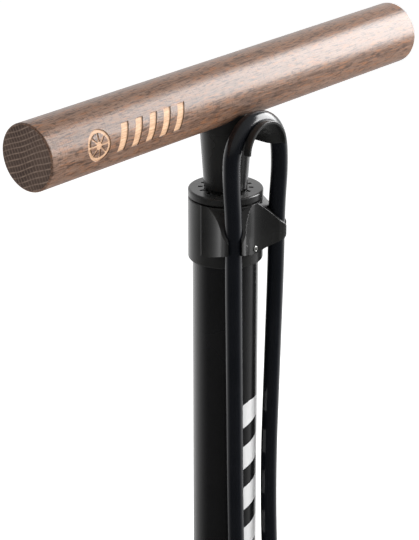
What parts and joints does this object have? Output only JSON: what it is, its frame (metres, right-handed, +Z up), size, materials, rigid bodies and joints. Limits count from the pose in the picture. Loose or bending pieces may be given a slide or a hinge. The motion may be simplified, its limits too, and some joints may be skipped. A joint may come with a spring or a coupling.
{
  "type": "floor bike pump",
  "caption": "Upright floor bike pump with a round wooden bar handle, a black barrel, a hose looped over the handle's saddle, a dial gauge and a lever-lock head on a triangular foot.",
  "frame": {"origin": "on the floor, under the barrel's axis", "axes": "+Z up along the barrel, X along the handle and the foot pads, -Y towards the gauge and the hose"},
  "size_m": [0.2672, 0.1561, 0.6683],
  "materials": {
    "wood": "stained and oiled, satin",
    "black_plastic": "satin black moulding",
    "painted_steel": "semi-gloss black with white stripes on the front",
    "hose_rubber": "smooth satin rubber",
    "chromed_steel": "polished",
    "steel": "bright zinc plated",
    "brass": "machined",
    "bush_plastic": "natural moulded",
    "soft_rubber": "matt",
    "tread_rubber": "matt ribbed",
    "base_plastic": "fine textured moulding",
    "head_plastic": "satin moulding",
    "lever_plastic": "satin grey moulding",
    "dial_face": "printed white",
    "needle_paint": "red paint",
    "clear_lens": "clear",
    "bezel_metal": "brushed ring"
  },
  "bodies": {
    "pump_body": {"barrel_cap": "black_plastic", "hose_clip_collar": "black_plastic", "collar_screw": "steel", "barrel_tube": "painted_steel", "hose": "hose_rubber", "rod_guide_bush": "bush_plastic", "barrel_gasket": "soft_rubber", "barrel_lock_screws": "steel", "base_moulding": "base_plastic", "tread_pad_left": "tread_rubber", "tread_pad_right": "tread_rubber", "rubber_feet": "soft_rubber", "foot_screws": "steel", "check_valve_seat": "brass", "check_valve_spring": "steel", "gauge_housing": "black_plastic", "gauge_stem": "brass", "gauge_bourdon_tube": "brass", "gauge_movement": "brass", "gauge_dial": "dial_face", "gauge_lens": "clear_lens", "gauge_bezel": "bezel_metal", "base_hose_fitting": "brass", "hose_ferrule_base": "black_plastic", "hose_ferrule_head": "black_plastic", "head_holder": "black_plastic", "holder_screw": "steel", "head_body": "head_plastic", "head_gasket": "soft_rubber", "head_cap_nut": "head_plastic", "head_lever_pin": "steel"},
    "handle": {"handle_grip": "wood", "handle_yoke": "black_plastic", "handle_insert": "brass", "handle_stud": "steel", "piston_rod": "chromed_steel", "piston_body": "bush_plastic", "piston_seal": "soft_rubber", "piston_nut": "steel", "top_bumper": "soft_rubber"},
    "head_lever": {"head_lever": "lever_plastic"},
    "head_plunger": {"head_plunger": "bush_plastic"},
    "gauge_needle": {"gauge_needle": "needle_paint"},
    "check_ball": {"check_valve_ball": "steel"}
  },
  "joints": [
    {"name": "handle_slide", "type": "slide", "parent": "pump_body", "child": "handle", "axis": [0, 0, 1], "range_m": [0, 0.495], "deforming": ["hose"]},
    {"name": "head_lever_hinge", "type": "hinge", "parent": "pump_body", "child": "head_lever", "pos_m": [0.036, -0.007, 0.178], "axis": [1, 0, 0], "range_deg": [0, 90]},
    {"name": "head_plunger_slide", "type": "slide", "parent": "pump_body", "child": "head_plunger", "axis": [0, -1, 0], "range_m": [0, 0.002], "deforming": ["head_gasket"]},
    {"name": "gauge_needle_hinge", "type": "hinge", "parent": "pump_body", "child": "gauge_needle", "pos_m": [0, -0.08172, 0.05845], "axis": [0, 0.5736, -0.8192], "range_deg": [0, 270], "stiffness_Nm_per_rad": 0.0005},
    {"name": "check_valve_slide", "type": "slide", "parent": "pump_body", "child": "check_ball", "axis": [0, 0, -1], "range_m": [0, 0.0015], "stiffness_N_per_m": 150, "springref_m": -0.002, "deforming": ["check_valve_spring"]}
  ],
  "couplings": [
    {"joint": "head_plunger_slide", "follows": "head_lever_hinge", "m_per_rad": 0.0012732}
  ]
}
